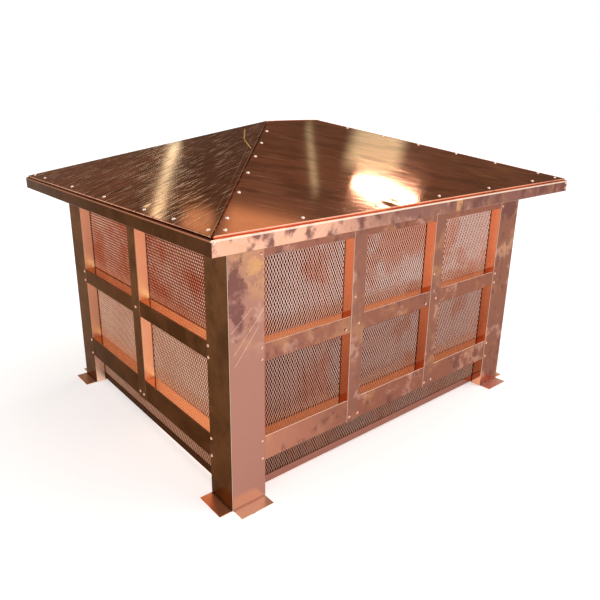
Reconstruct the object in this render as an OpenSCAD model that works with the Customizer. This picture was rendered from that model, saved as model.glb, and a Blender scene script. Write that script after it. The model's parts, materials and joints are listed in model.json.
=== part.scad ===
// Chimney shroud: a hip-roofed sheet-metal cap with folded posts, rails and mesh panels.
// The long sides face front (-Y) and back, the short sides left (-X) and right.
// The origin is on the ground under the middle of the roof.

/* [Overall] */
// Width of the body over the post faces, left to right
body_w = 914; // [800:1:1300]
// Depth of the body over the post faces, front to back
body_d = 756; // [500:1:1100]
// Height from the ground to the underside of the eaves
body_h = 538; // [400:1:900]
// Slope of the roof in degrees
roof_pitch = 17.5; // [8:0.5:35]
// How far the eaves stand out past the body
overhang = 79; // [45:1:150]

/* [Sheet] */
// Thickness of the sheet
sheet = 1; // [0.6:0.1:1.5]
// Radius of a brake fold, to the middle of the sheet
fold_r = 1.2; // [1:0.1:2.5]
// Depth of the folded returns, from the outer face to the mesh
inset = 28; // [16:1:45]
// Slack around a tab in its slot, and beside a notch
slack = 0.3; // [0.1:0.1:1]

/* [Eaves and roof] */
// Height of the fascia
fascia_h = 27; // [15:1:60]
// Width of the sloping lip that the roof pans are riveted to
lip_w = 30; // [15:1:45]
// How far the pans stop short of the edge of the fascia
pan_setback = 4.5; // [2:0.5:12]
// Height of the open hem along a pan's edge
hem_h = 3.5; // [2.5:0.1:6]
// Width of the hem
hem_w = 18; // [10:1:28]
// Gap beside a hem at a hip or the ridge, and between two hems at a corner
hip_gap = 1; // [0.5:0.1:3]
// Width of the flange that laps under a hem at a hip or the ridge
lap_w = 22; // [10:1:35]
// Distance from the middle to the seam between the two lengths of a long side's eave
seam_x = 87; // [0:1:300]
// Gap at the seam
seam_gap = 0.4; // [0.2:0.1:1]
// Reach of a splice or corner tab behind a fascia
splice_w = 18; // [10:1:40]

/* [Posts] */
// Width of a post on the front and back
front_face = 80; // [50:1:130]
// Width of a post on the left and right
side_face = 76; // [50:1:130]
// How far the feet turn out
foot_w = 29; // [12:1:50]
// Length of a rail's tab behind a post
tab_w = 14; // [6:1:22]

/* [Rails and mullions] */
// Height of the top rails
top_rail_h = 39; // [20:1:70]
// Height of the middle rails
mid_rail_h = 38; // [20:1:70]
// Height of the middle rails' lower edge above the ground
mid_rail_z = 295; // [200:1:340]
// Height of the bottom rails
bottom_rail_h = 54; // [25:1:80]
// Height of the bottom rails' lower edge above the ground
bottom_rail_z = 82; // [45:1:110]
// Width of the mullions
mullion_w = 38; // [20:1:70]

/* [Mesh] */
// Thickness of the mesh
mesh_t = 1.2; // [0.8:0.1:2]
// Width of a strand
strand = 3; // [1.5:0.1:4]
// Width of a diamond
diamond_w = 34; // [28:1:60]
// Height of a diamond
diamond_h = 68; // [56:1:120]
// Width of the plain rim of a mesh panel
rim = 5; // [3:0.5:10]
// Height of the strip along the foot of the mesh
strip_h = 18; // [8:1:30]
// Gap between the ground and the strip
strip_z = 4; // [2:1:30]

/* [Hidden] */
$fn = 32;
roof_brown = "#6f4a30";
edge_copper = "#b5713f";
face_copper = "#c08468";
rail_copper = "#b87a58";
mesh_copper = "#8a5a44";

// Half the roof's plan over the fascias
roof_x = body_w / 2 + overhang;
roof_y = body_d / 2 + overhang;
// Distance in plan from an eave to where the hips meet
hip_reach = min(roof_x, roof_y);
// Height of the upper edge of the fascia
eave_z = body_h + fascia_h;
// Radius of a hem's folds, with a short flat between them
hem_r = (hem_h - sheet) / 2 - 0.05;
// Radius of the folds around the mesh's lower edge
strip_r = (mesh_t + sheet) / 2 - 0.3;
// Outer radius of a fold
fold_out = fold_r + sheet / 2;
// Height at which a post's faces turn out into its feet
foot_z = sheet / 2 + fold_r + 1;
// Depth of the mesh's back behind the outer face
mesh_rear = inset + mesh_t;
// Length that reaches past the whole shroud
far = body_w + body_d + body_h;
// Lower edge and height of each row of rails
top_rail_z = body_h - top_rail_h;
rails = [[bottom_rail_z, bottom_rail_h], [mid_rail_z, mid_rail_h], [top_rail_z, top_rail_h]];
// Width of a bay, for three equal bays between the posts
bay_w = (body_w - 2 * front_face - 2 * mullion_w) / 3;

// ---- Folded sections ----

function step(line, i) = (line[i + 1] - line[i]) / norm(line[i + 1] - line[i]);
function left_of(v) = [-v.y, v.x];
function turn(line, i) = atan2(cross(step(line, i - 1), step(line, i)), step(line, i - 1) * step(line, i));
function trim(line, i, r) = i == 0 || i == len(line) - 1 ? 0 : r * tan(abs(turn(line, i)) / 2);

// One straight leg of a folded strip
module leg(line, i, r) {
    u = step(line, i);
    a = line[i] + u * trim(line, i, r);
    b = line[i + 1] - u * trim(line, i + 1, r);
    n = left_of(u) * sheet / 2;
    polygon([a - n, b - n, b + n, a + n]);
}

// The round stretch of a fold
module bend(line, i, r) {
    side = sign(turn(line, i));
    from = -side * left_of(step(line, i - 1));
    to = -side * left_of(step(line, i));
    size = 3 * r;
    translate(line[i] - step(line, i - 1) * trim(line, i, r) - from * r)
        intersection() {
            difference() {
                circle(r + sheet / 2);
                circle(r - sheet / 2);
            }
            polygon([[0, 0], from * size, (from + to) * size, to * size]);
        }
}

// Section of a strip of sheet that is folded along the given middle line
module folded(line, r = fold_r) {
    for (i = [0 : len(line) - 2])
        leg(line, i, r);
    for (i = [1 : len(line) - 2])
        bend(line, i, r);
}

// A section drawn as depth and height, run along X over a length centred on the origin
module run_along(length) {
    rotate([90, 0, 90])
        translate([0, 0, -length / 2])
            linear_extrude(length)
                children();
}

// ---- Sides: each child is drawn as if for the front, with its outer face at y = 0 ----

module on_front() {
    translate([0, -body_d / 2, 0])
        children();
}

module on_back() {
    rotate([0, 0, 180])
        on_front()
            children();
}

module on_left() {
    rotate([0, 0, -90])
        translate([0, -body_w / 2, 0])
            children();
}

module on_right() {
    rotate([0, 0, 180])
        on_left()
            children();
}

// ---- Roof ----
// Each slope has a frame of its own: X along the eave, Y up the slope, Z square to it,
// with Z = 0 on top of the eave's sloping lip.

module on_slope(reach) {
    translate([0, -reach, eave_z])
        rotate([roof_pitch, 0, 0])
            children();
}

// Half the ridge over a slope whose eave is half as long as given; none over a short side
function ridge(half) = half - hip_reach;

// Corners of a slope in its own frame, anticlockwise from the left end of the eave
function slope_corners(half) =
    let (top = hip_reach / cos(roof_pitch))
    ridge(half) > 0
        ? [[-half, 0], [half, 0], [ridge(half), top], [-ridge(half), top]]
        : [[-half, 0], [half, 0], [0, top]];

// The corners with each edge moved in by its own margin
function inset_corners(corners, margins) = [
    for (i = [0 : len(corners) - 1])
        let (
            before = (i + len(corners) - 1) % len(corners),
            next = corners[(i + 1) % len(corners)] - corners[i],
            last = corners[i] - corners[before],
            u = last / norm(last),
            v = next / norm(next)
        )
        corners[i] + (margins[before] * v - margins[i] * u) / cross(u, v)
];

// Plan that notches the ends of a hem from a to b, along lines to its inner corners
function notched(a, b, inner_a, inner_b) =
    let (gap = hip_gap * (b - a) / norm(b - a))
    [
        a + (a - inner_a) / 4 + gap, b + (b - inner_b) / 4 - gap,
        inner_b + (inner_b - b) / 4 - gap, inner_a + (inner_a - a) / 4 + gap,
    ];

// An open hem whose nose runs from a to b, longer than that at both ends
module hem(a, b) {
    middle = sheet / 2;
    translate([a.x, a.y, 0])
        rotate([0, 0, atan2(b.y - a.y, b.x - a.x)])
            translate([norm(b - a) / 2, 0, 0])
                run_along(norm(b - a) + 4 * hem_w)
                    folded([
                        [hem_w, middle], [middle, middle],
                        [middle, hem_h - middle], [hem_w, hem_h - middle],
                    ], hem_r);
}

// A pan: a flat plate with hems along the edges whose hemmed flag is true, notched at its corners
module pan(corners, margins, hemmed) {
    outer = inset_corners(corners, margins);
    flat = inset_corners(corners, [
        for (i = [0 : len(corners) - 1]) margins[i] + (hemmed[i] ? hem_h / 2 + slack : 0)]);
    inner = inset_corners(corners, [
        for (i = [0 : len(corners) - 1]) margins[i] + (hemmed[i] ? hem_w : 0)]);
    translate([0, 0, hem_h - sheet])
        linear_extrude(sheet)
            polygon(flat);
    for (i = [0 : len(corners) - 1]) {
        j = (i + 1) % len(corners);
        if (hemmed[i])
            intersection() {
                hem(outer[i], outer[j]);
                translate([0, 0, -hem_h])
                    linear_extrude(3 * hem_h)
                        polygon(notched(outer[i], outer[j], inner[i], inner[j]));
            }
    }
}

// A layer of a slope between two heights, over an outline in plan
module layer(reach, low, high, plan) {
    intersection() {
        on_slope(reach)
            translate([-far / 2, -far / 4, low])
                cube([far, far, high - low]);
        linear_extrude(far)
            polygon(plan);
    }
}

// Plan of a strip beside the line from p to q, between two distances to its right
function strip(p, q, near, reach_out) =
    let (out = -left_of((q - p) / norm(q - p)))
    [p + out * near, p + out * reach_out, q + out * reach_out, q + out * near];

// The pan over a slope, with a hem along the eave and, where asked, the hips and the ridge
module slope_pan(reach, half, hip_hem, ridge_hem) {
    hip = hip_hem ? hip_gap : 0;
    top = ridge_hem ? hip_gap : 0;
    on_slope(reach)
        if (ridge(half) > 0)
            pan(slope_corners(half), [pan_setback, hip, top, hip], [true, hip_hem, ridge_hem, hip_hem]);
        else
            pan(slope_corners(half), [pan_setback, hip, hip], [true, hip_hem, hip_hem]);
}

// The turned-down edge of the left pan at the front hip, and the flange that it carries there,
// whose lower end is cut to lie along the eave's lip
module hip_flange() {
    corner = [-roof_x, -roof_y];
    start = lip_w + slack;
    stop = hip_reach - hip_gap;
    short_stop = stop - lap_w / 4;
    web = [start + sheet, start + sheet];
    rotate([0, 0, -90])
        layer(roof_x, -sheet, hem_h, [for (p = strip(
            corner + web, corner + [stop, stop], -sheet, 0)) [-p.y, p.x]]);
    flange = strip(
        corner + [start, start], corner + [short_stop, short_stop], -sheet / 2, lap_w);
    layer(roof_y, -sheet, 0, [
        corner + [start - sqrt(2) * sheet / 2, start], corner + [start + sqrt(2) * lap_w, start],
        flange[2], flange[3],
    ]);
}

// The turned-down edge along the ridge of the slope behind, and the flange under the front one
module ridge_flange(reach, half) {
    end = ridge(half) - lap_w;
    if (end > 0) {
        rotate([0, 0, 180])
            layer(reach, -sheet, hem_h, [[-end, -sheet], [end, -sheet], [end, 0], [-end, 0]]);
        layer(reach, -sheet, 0, [
            [-end, -lap_w], [end, -lap_w], [end, sheet / 2], [-end, sheet / 2],
        ]);
    }
}

// The pan over a short side, which carries a flange along both hips, drawn for the left
module side_pan(ridge_hem) {
    rotate([0, 0, -90])
        slope_pan(roof_x, roof_y, false, ridge_hem);
    hip_flange();
    mirror([0, 1, 0])
        hip_flange();
}

module roof_front() {
    color(roof_brown)
        slope_pan(roof_y, roof_x, true, true);
}

module roof_back() {
    color(roof_brown) {
        rotate([0, 0, 180])
            slope_pan(roof_y, roof_x, true, false);
        ridge_flange(roof_y, roof_x);
    }
}

module roof_left() {
    color(roof_brown)
        side_pan(true);
}

module roof_right() {
    color(roof_brown) {
        rotate([0, 0, 180])
            side_pan(false);
        rotate([0, 0, -90])
            ridge_flange(roof_x, roof_y);
    }
}

// ---- Eaves ----

// Section of an eave: soffit, fascia and sloping lip, folded from one strip
module eave_section() {
    middle = sheet / 2;
    top_z = eave_z + middle * tan(roof_pitch) - middle / cos(roof_pitch);
    edge = [-overhang + middle, top_z];
    folded([
        [mesh_rear, body_h + middle],
        [-overhang + middle, body_h + middle],
        edge,
        edge + lip_w * [cos(roof_pitch), sin(roof_pitch)],
    ]);
}

// An eave from end to end, mitred at the corners
module whole_eave(half) {
    body = half - overhang - mesh_rear;
    intersection() {
        run_along(2 * half)
            eave_section();
        linear_extrude(far)
            polygon([[-half, -overhang], [half, -overhang], [body, mesh_rear], [-body, mesh_rear]]);
    }
}

// A tab against the back of the fascia, from one place along it to another
module fascia_tab(from, to) {
    translate([from, -overhang + sheet, body_h + fold_out + 1])
        cube([to - from, sheet, fascia_h - 2 * (fold_out + 1)]);
}

// The longer length of an eave on a long side, which carries the splice behind the seam
module long_eave() {
    color(edge_copper) {
        intersection() {
            whole_eave(roof_x);
            translate([-far, -far, 0])
                cube([far + seam_x, 2 * far, far]);
        }
        fascia_tab(seam_x - splice_w, seam_x + splice_w);
    }
}

// The shorter length, which ends the eave at the right of its side
module long_eave_end() {
    color(edge_copper)
        intersection() {
            whole_eave(roof_x);
            translate([seam_x + seam_gap, -far, 0])
                cube([far, 2 * far, far]);
        }
}

// The eave of a short side, with a tab at each end that turns the corner behind the fascia
module short_eave() {
    color(edge_copper) {
        whole_eave(roof_y);
        for (side = [-1, 1])
            scale([side, 1, 1])
                translate([roof_y - 2 * sheet, -overhang + sheet, body_h + fold_out + 1])
                    cube([sheet, splice_w, fascia_h - 2 * (fold_out + 1)]);
    }
}

module eave_front() {
    on_front()
        long_eave();
}

module eave_front_end() {
    on_front()
        long_eave_end();
}

module eave_back() {
    on_back()
        long_eave();
}

module eave_back_end() {
    on_back()
        long_eave_end();
}

module eave_left() {
    on_left()
        short_eave();
}

module eave_right() {
    on_right()
        short_eave();
}

// ---- Corner posts ----

// Slots through a return for the rails' tabs, with the outer face at y = 0
module tab_slots(face) {
    for (rail = rails)
        translate([face - fold_out - 1, sheet, rail[0] + fold_out + 1 - slack])
            cube([fold_out + 2, sheet + slack, rail[1] - 2 * (fold_out + 1) + 2 * slack]);
}

// A face's foot, turned out at the ground
module foot(face) {
    length = face - 2 * fold_out;
    translate([face / 2, 0, 0])
        run_along(length)
            folded([[-foot_w, sheet / 2], [sheet / 2, sheet / 2], [sheet / 2, foot_z]]);
}

// The lowest stretch of a return, which runs past the fold of the foot to the ground
module return_end(face) {
    translate([face - sheet, fold_out, 0])
        cube([sheet, inset - fold_out, foot_z]);
}

// One half of a post: what belongs to the face along X
module post_half(face) {
    foot(face);
    return_end(face);
}

// The front left post, with its outer corner at the origin
module post() {
    middle = sheet / 2;
    color(face_copper) {
        difference() {
            translate([0, 0, foot_z])
                linear_extrude(body_h - foot_z)
                    folded([
                        [front_face - middle, inset], [front_face - middle, middle],
                        [middle, middle],
                        [middle, side_face - middle], [inset, side_face - middle],
                    ]);
            tab_slots(front_face);
            mirror([1, -1, 0])
                tab_slots(side_face);
        }
        post_half(front_face);
        mirror([1, -1, 0])
            post_half(side_face);
    }
}

module post_front_left() {
    translate([-body_w / 2, -body_d / 2, 0])
        post();
}

module post_front_right() {
    mirror([1, 0, 0])
        post_front_left();
}

module post_back_left() {
    mirror([0, 1, 0])
        post_front_left();
}

module post_back_right() {
    mirror([0, 1, 0])
        post_front_right();
}

// ---- Rails ----

// A channel between two posts, with a tab at each end that lies behind the post's face
module rail(span, face, row) {
    z0 = row[0];
    h = row[1];
    middle = sheet / 2;
    tab_end = span / 2 - face + sheet + tab_w;
    color(rail_copper) {
        run_along(span - 2 * face)
            folded([
                [inset, z0 + h - middle], [sheet + middle, z0 + h - middle],
                [sheet + middle, z0 + middle], [inset, z0 + middle],
            ]);
        translate([-tab_end, sheet, z0 + fold_out + 1])
            cube([2 * tab_end, sheet, h - 2 * (fold_out + 1)]);
    }
}

module top_rail_front() {
    on_front()
        rail(body_w, front_face, rails[2]);
}

module top_rail_back() {
    on_back()
        rail(body_w, front_face, rails[2]);
}

module top_rail_left() {
    on_left()
        rail(body_d, side_face, rails[2]);
}

module top_rail_right() {
    on_right()
        rail(body_d, side_face, rails[2]);
}

module mid_rail_front() {
    on_front()
        rail(body_w, front_face, rails[1]);
}

module mid_rail_back() {
    on_back()
        rail(body_w, front_face, rails[1]);
}

module mid_rail_left() {
    on_left()
        rail(body_d, side_face, rails[1]);
}

module mid_rail_right() {
    on_right()
        rail(body_d, side_face, rails[1]);
}

module bottom_rail_front() {
    on_front()
        rail(body_w, front_face, rails[0]);
}

module bottom_rail_back() {
    on_back()
        rail(body_w, front_face, rails[0]);
}

module bottom_rail_left() {
    on_left()
        rail(body_d, side_face, rails[0]);
}

module bottom_rail_right() {
    on_right()
        rail(body_d, side_face, rails[0]);
}

// ---- Mullions ----

// A channel that runs over the rails, with its returns notched around them
module mullion(middle_x) {
    middle = sheet / 2;
    edge = mullion_w / 2 - middle;
    color(face_copper)
        translate([middle_x, 0, 0])
            difference() {
                translate([0, 0, bottom_rail_z])
                    linear_extrude(body_h - bottom_rail_z)
                        folded([[-edge, inset], [-edge, middle], [edge, middle], [edge, inset]]);
                for (rail = rails)
                    translate([-mullion_w, sheet, rail[0] - slack])
                        cube([2 * mullion_w, inset, rail[1] + 2 * slack]);
            }
}

module mullion_front_left() {
    on_front()
        mullion(-(bay_w + mullion_w) / 2);
}

module mullion_front_right() {
    on_front()
        mullion((bay_w + mullion_w) / 2);
}

module mullion_back_left() {
    on_back()
        mullion((bay_w + mullion_w) / 2);
}

module mullion_back_right() {
    on_back()
        mullion(-(bay_w + mullion_w) / 2);
}

module mullion_left() {
    on_left()
        mullion(0);
}

module mullion_right() {
    on_right()
        mullion(0);
}

// ---- Mesh ----

// A diamond opening between the strands
module diamond() {
    half_w = diamond_w / 2 - strand * sqrt(1 + pow(diamond_w / diamond_h, 2)) / 2;
    half_h = half_w * diamond_h / diamond_w;
    polygon([[-half_w, 0], [0, -half_h], [half_w, 0], [0, half_h]]);
}

// Expanded sheet that covers one side, with whole rows and the odd rows shifted by half a diamond
module mesh_panel(width) {
    z0 = strip_z + sheet + slack;
    height = body_h - z0;
    columns = ceil(width / diamond_w / 2);
    rows = ceil(height / diamond_h);
    color(mesh_copper)
        translate([0, mesh_rear, z0])
            rotate([90, 0, 0])
                linear_extrude(mesh_t)
                    difference() {
                        translate([-width / 2, 0])
                            square([width, height]);
                        intersection() {
                            translate([-width / 2 + rim, strip_h])
                                square([width - 2 * rim, height - strip_h - rim]);
                            for (i = [-columns : columns], k = [0 : rows])
                                for (shift = [0, 0.5])
                                    translate([(i + shift) * diamond_w, (k + shift) * diamond_h])
                                        diamond();
                        }
                    }
}

module mesh_front() {
    on_front()
        mesh_panel(body_w - 2 * inset);
}

module mesh_back() {
    on_back()
        mesh_panel(body_w - 2 * inset);
}

module mesh_left() {
    on_left()
        mesh_panel(body_d - 2 * mesh_rear);
}

module mesh_right() {
    on_right()
        mesh_panel(body_d - 2 * mesh_rear);
}

// ---- Base strips ----

// A strip folded around the lower edge of the mesh, from post to post
module base_strip(span, face) {
    middle = sheet / 2;
    color(edge_copper)
        run_along(span - 2 * face)
            folded([
                [inset - middle, strip_z + strip_h], [inset - middle, strip_z + middle],
                [mesh_rear + middle, strip_z + middle], [mesh_rear + middle, strip_z + strip_h],
            ], strip_r);
}

module base_strip_front() {
    on_front()
        base_strip(body_w, front_face);
}

module base_strip_back() {
    on_back()
        base_strip(body_w, front_face);
}

module base_strip_left() {
    on_left()
        base_strip(body_d, side_face);
}

module base_strip_right() {
    on_right()
        base_strip(body_d, side_face);
}

// ---- Nodes ----

roof_front();
roof_back();
roof_left();
roof_right();
eave_front();
eave_front_end();
eave_back();
eave_back_end();
eave_left();
eave_right();
post_front_left();
post_front_right();
post_back_left();
post_back_right();
top_rail_front();
top_rail_back();
top_rail_left();
top_rail_right();
mid_rail_front();
mid_rail_back();
mid_rail_left();
mid_rail_right();
bottom_rail_front();
bottom_rail_back();
bottom_rail_left();
bottom_rail_right();
mullion_front_left();
mullion_front_right();
mullion_back_left();
mullion_back_right();
mullion_left();
mullion_right();
mesh_front();
mesh_back();
mesh_left();
mesh_right();
base_strip_front();
base_strip_back();
base_strip_left();
base_strip_right();
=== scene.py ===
# %% [markdown]
# # Chimney shroud
# A hip-roofed cap of folded sheet copper that stands over a chimney's flues, with expanded
# mesh between its posts, rails and mullions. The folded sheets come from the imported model.
# This script gives them their finish and adds what is too fine for the model: the true mesh
# and the rivets. It could also redraw the sheets, but then their folds would have to be
# matched by eye, so each of them stays as it is.

# %% Load the frame
import json
import math
from types import SimpleNamespace

import bpy
from mathutils import Matrix, Vector


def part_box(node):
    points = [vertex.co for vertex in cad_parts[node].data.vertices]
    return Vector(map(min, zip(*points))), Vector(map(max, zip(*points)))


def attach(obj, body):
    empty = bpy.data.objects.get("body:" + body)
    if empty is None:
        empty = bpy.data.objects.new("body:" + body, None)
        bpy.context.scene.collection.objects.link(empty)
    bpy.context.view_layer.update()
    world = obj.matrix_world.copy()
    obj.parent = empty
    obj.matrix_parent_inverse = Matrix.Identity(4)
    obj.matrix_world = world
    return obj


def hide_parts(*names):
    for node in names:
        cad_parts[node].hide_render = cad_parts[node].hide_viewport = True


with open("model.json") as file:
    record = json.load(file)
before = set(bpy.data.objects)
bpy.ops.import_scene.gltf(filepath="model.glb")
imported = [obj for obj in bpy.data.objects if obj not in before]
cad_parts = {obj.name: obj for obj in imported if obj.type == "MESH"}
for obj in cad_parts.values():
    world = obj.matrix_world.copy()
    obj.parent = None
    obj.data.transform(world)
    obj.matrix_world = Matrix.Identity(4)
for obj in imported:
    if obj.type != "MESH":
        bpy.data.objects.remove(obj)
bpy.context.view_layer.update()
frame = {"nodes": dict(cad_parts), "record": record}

# %% [markdown]
# The sizes that the pieces below share are read from the model's own boxes, so that a rivet
# or a strand stays in its place if a sheet moves. They could be typed in again, but then the
# two descriptions could drift apart. Only the fascia's height and the roof's pitch are typed,
# because no box shows them. X runs along the front from west to east, Y runs to the back and
# Z up, and the middle is at zero, so the low corners are negative.

# %% Sizes of the shroud
MM = 0.001
FASCIA_HEIGHT = 27 * MM
ROOF_PITCH = math.radians(17.5)
body_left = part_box("mullion_left")[0][0]
body_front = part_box("mullion_front_left")[0][1]
rail_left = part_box("mid_rail_left")[0][0]
rail_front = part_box("mid_rail_front")[0][1]
mesh_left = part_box("mesh_left")[0][0]
mesh_front, mesh_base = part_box("mesh_front")[0][1:]
eave_left, eave_front, eave_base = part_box("eave_front")[0]
eave_top = eave_base + FASCIA_HEIGHT
print("body half sizes:", -body_left, -body_front, "roof half sizes:", -eave_left, -eave_front)

# %% [markdown]
# The camera stands a little above the eaves, off the front left corner. A camera could be
# aimed with a constraint, but a plain place and turn are easier to read and to repeat.

# %% Camera
camera_data = bpy.data.cameras.new("camera")
camera_data.lens = 34.24
camera_data.sensor_width = 36.0
camera_data.shift_x = 0.048
camera_data.shift_y = -0.029
camera = bpy.data.objects.new("camera", camera_data)
camera.location = (-0.96469, -1.14722, 0.75904)
camera.rotation_euler = (math.radians(72.323), 0.0, math.radians(-38.043))
bpy.context.collection.objects.link(camera)
bpy.context.scene.camera = camera
bpy.context.scene.view_settings.view_transform = "Standard"
print("camera at", tuple(camera.location))

# %% [markdown]
# A finish is a tree of nodes. The tree could be drawn with dozens of separate calls, but sums
# are easier to read as sums, so a wire that leaves a socket takes part in Python expressions
# and each operator adds its Math node.


# %% Wires
class Wire:
    """What leaves a socket. An expression on wires adds its Math nodes."""

    def __init__(self, graph, socket):
        self.graph = graph
        self.socket = socket

    def maths(self, operation, *others):
        values = dict(enumerate((self,) + others))
        return self.graph.add("ShaderNodeMath", {"operation": operation}, values)

    def __add__(self, other):
        return self.maths("ADD", other)

    def __mul__(self, other):
        return self.maths("MULTIPLY", other)

    def __sub__(self, other):
        return self.maths("SUBTRACT", other)

    def __rsub__(self, other):
        return self.graph.add("ShaderNodeMath", {"operation": "SUBTRACT"}, {0: other, 1: self})

    def __truediv__(self, other):
        return self.maths("DIVIDE", other)

    def __neg__(self):
        return self.maths("MULTIPLY", -1.0)

    def __abs__(self):
        return self.maths("ABSOLUTE")

    def highest(self, other):
        return self.maths("MAXIMUM", other)

    def sibling(self, name):
        """Another output of the same node."""
        return Wire(self.graph, self.socket.node.outputs[name])

    __radd__ = __add__
    __rmul__ = __mul__


# %% [markdown]
# Every other node comes from one method, which takes the node's type, its settings and what
# its sockets hold. Colours go through Mix, because a Math node would turn them grey. A soft
# step is the tool used most: it turns a height, a distance or a noise into a mask from 0 to 1.


# %% Graphs
class Graph:
    """The node tree of one finish, lamp or room."""

    def __init__(self, owner):
        owner.use_nodes = True
        self.tree = owner.node_tree
        self.tree.nodes.clear()

    def add(self, kind, settings=None, inputs=None, output=0):
        node = self.tree.nodes.new(kind)
        for name, value in (settings or {}).items():
            setattr(node, name, value)
        for key, value in (inputs or {}).items():
            if isinstance(value, Wire):
                self.tree.links.new(value.socket, node.inputs[key])
            else:
                node.inputs[key].default_value = value
        return Wire(self, node.outputs[output]) if node.outputs else None

    def blend(self, factor, first, second):
        """The first colour where the factor is 0 and the second where it is 1."""
        colours = {
            key: value if isinstance(value, Wire) else (*value, 1.0)
            for key, value in ((6, first), (7, second))
        }
        return self.add("ShaderNodeMix", {"data_type": "RGBA"}, {0: factor, **colours}, output=2)

    def split(self, vector):
        """The three parts of a vector."""
        x = self.add("ShaderNodeSeparateXYZ", {}, {0: vector}, output="X")
        return x, x.sibling("Y"), x.sibling("Z")

    def smooth(self, value, low, high):
        """A soft step from 0 at low to 1 at high."""
        return self.add(
            "ShaderNodeMapRange",
            {"interpolation_type": "SMOOTHSTEP"},
            {"Value": value, "From Min": low, "From Max": high},
        )

    def fall(self, value, low, high):
        """A soft step from 1 at low to 0 at high."""
        return self.smooth(-value, -high, -low)


# %% [markdown]
# Sheet copper that has been handled shows four things: broad clouds of brown tarnish, smaller
# blotches with sharper edges, fine scratches that run mostly one way, and a slight waviness
# of the sheet. Each is a noise at its own scale, read from the object's coordinates in
# metres, so the same finish runs on over every sheet. An image could hold them too, but it
# would need a flat map of each folded sheet.


# %% Patterns of handled copper
class CopperGraph(Graph):
    """A finish for sheet copper, with the patterns that its marks are made of."""

    def __init__(self, name):
        self.material = bpy.data.materials.new(name)
        super().__init__(self.material)
        self.place = self.add("ShaderNodeTexCoord", output="Object")
        self.x, self.y, self.z = self.split(self.place)
        facing = self.add("ShaderNodeNewGeometry", output="Normal")
        self.facing_x, self.facing_y, self.facing_z = self.split(facing)

    def clouds(self, size, detail=4.0, shift=0.0, roughness=0.6):
        """Soft noise from 0 to 1 whose lumps are about as wide as the given size."""
        moved = self.add(
            "ShaderNodeMapping", {}, {"Vector": self.place, "Location": (shift, shift, shift)}
        )
        return self.add(
            "ShaderNodeTexNoise",
            {},
            {"Vector": moved, "Scale": 1.0 / size, "Detail": detail, "Roughness": roughness},
        )

    def streaks(self, length, width, turn, detail=3.0, depth=10.0):
        """Noise drawn out along X, after turns about the three axes."""
        moved = self.add(
            "ShaderNodeMapping",
            {"vector_type": "TEXTURE"},
            {"Vector": self.place, "Rotation": turn, "Scale": (length, width, depth)},
        )
        return self.add("ShaderNodeTexNoise", {}, {"Vector": moved, "Scale": 1.0, "Detail": detail})

    def line(self, across, up, start, end, width):
        """A thin straight mark from start to end, in millimetres, in the plane of two axes."""
        start, end = Vector(start) * MM, Vector(end) * MM
        along = (end - start).normalized()
        right, rise = across - start.x, up - start.y
        aside = abs(right * along.y - rise * along.x)
        run = right * along.x + rise * along.y
        length = (end - start).length
        ends = self.smooth(run, 0.0, 0.05 * length) * self.smooth(length - run, 0.0, 0.05 * length)
        return self.smooth(width * MM - aside, 0.0, 0.7 * width * MM) * ends

    def spot(self, across, up, middle, radius):
        """A soft round mark in millimetres, 1 in its middle and 0 at its radius."""
        right, rise = across - middle[0] * MM, up - middle[1] * MM
        distance = (right * right + rise * rise).maths("SQRT")
        return self.smooth(radius * MM - distance, 0.0, radius * MM)

    def finish(self, colour, roughness, bumps, metallic=1.0, edge=(0.75, 0.6, 0.52)):
        """The shader. A bump is its height in metres and its pattern, and the edge is the tint
        of a face that is seen aslant."""
        normal = None
        for height, pattern in bumps:
            inputs = {"Height": pattern, "Distance": height, "Strength": 1.0}
            if normal:
                inputs["Normal"] = normal
            normal = self.add("ShaderNodeBump", {}, inputs)
        shader = self.add(
            "ShaderNodeBsdfPrincipled",
            {},
            {
                "Base Color": colour,
                "Metallic": metallic,
                "Roughness": roughness,
                "Specular Tint": (*edge, 1.0),
                "Normal": normal,
            },
        )
        self.add("ShaderNodeOutputMaterial", {}, {"Surface": shader})
        print(self.material.name, "has", len(self.tree.nodes), "nodes")
        return self.material


# %% [markdown]
# The roof keeps most of its mill polish, so it mirrors the room, under a brown haze and a
# great many fine scratches. On the side pans they run up the slope, and on the long pans
# slantwise. Scratches could be drawn one by one, but a noise that is stretched along one axis
# gives thousands of them. Only the few long lines that a hand left are drawn as lines.


# %% Marks on the roof
def turned(degrees):
    """A turn about the upright axis."""
    return (0.0, 0.0, math.radians(degrees))


def roof_streaks(graph, side_pan, long_pan):
    """The dark smears and the light scratches."""
    dark = (
        graph.smooth(graph.streaks(0.09, 0.009, turned(0), detail=6.0), 0.46, 0.6) * side_pan
        + graph.smooth(graph.streaks(0.12, 0.011, turned(-36), detail=6.0), 0.48, 0.66) * long_pan
    )
    light = (
        graph.smooth(graph.streaks(0.05, 0.0045, turned(4), detail=5.0), 0.56, 0.68) * side_pan
        + graph.smooth(graph.streaks(0.04, 0.0055, turned(-12), detail=5.0), 0.6, 0.72) * side_pan
        + graph.smooth(graph.streaks(0.10, 0.0035, turned(-38), detail=5.0), 0.58, 0.74) * long_pan
    )
    return dark, light.maths("MINIMUM", 1.0)


def roof_lines(graph):
    """The lines scored along the near hip, and a gold-coloured run below the ridge."""
    x, y = graph.x, graph.y
    scored = graph.line(x, y, (-387, -289), (-162, -57), 1.2)
    scored = scored.highest(graph.line(x, y, (-472, -373), (-387, -289), 1.2))
    scored = scored.highest(graph.line(x, y, (-530, -448), (-82, 0), 1.6))
    gold = graph.line(x, y, (-137, 14), (-196, -66), 2.4)
    return scored, gold.highest(graph.line(x, y, (-196, -66), (-238, -150), 1.8))


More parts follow.
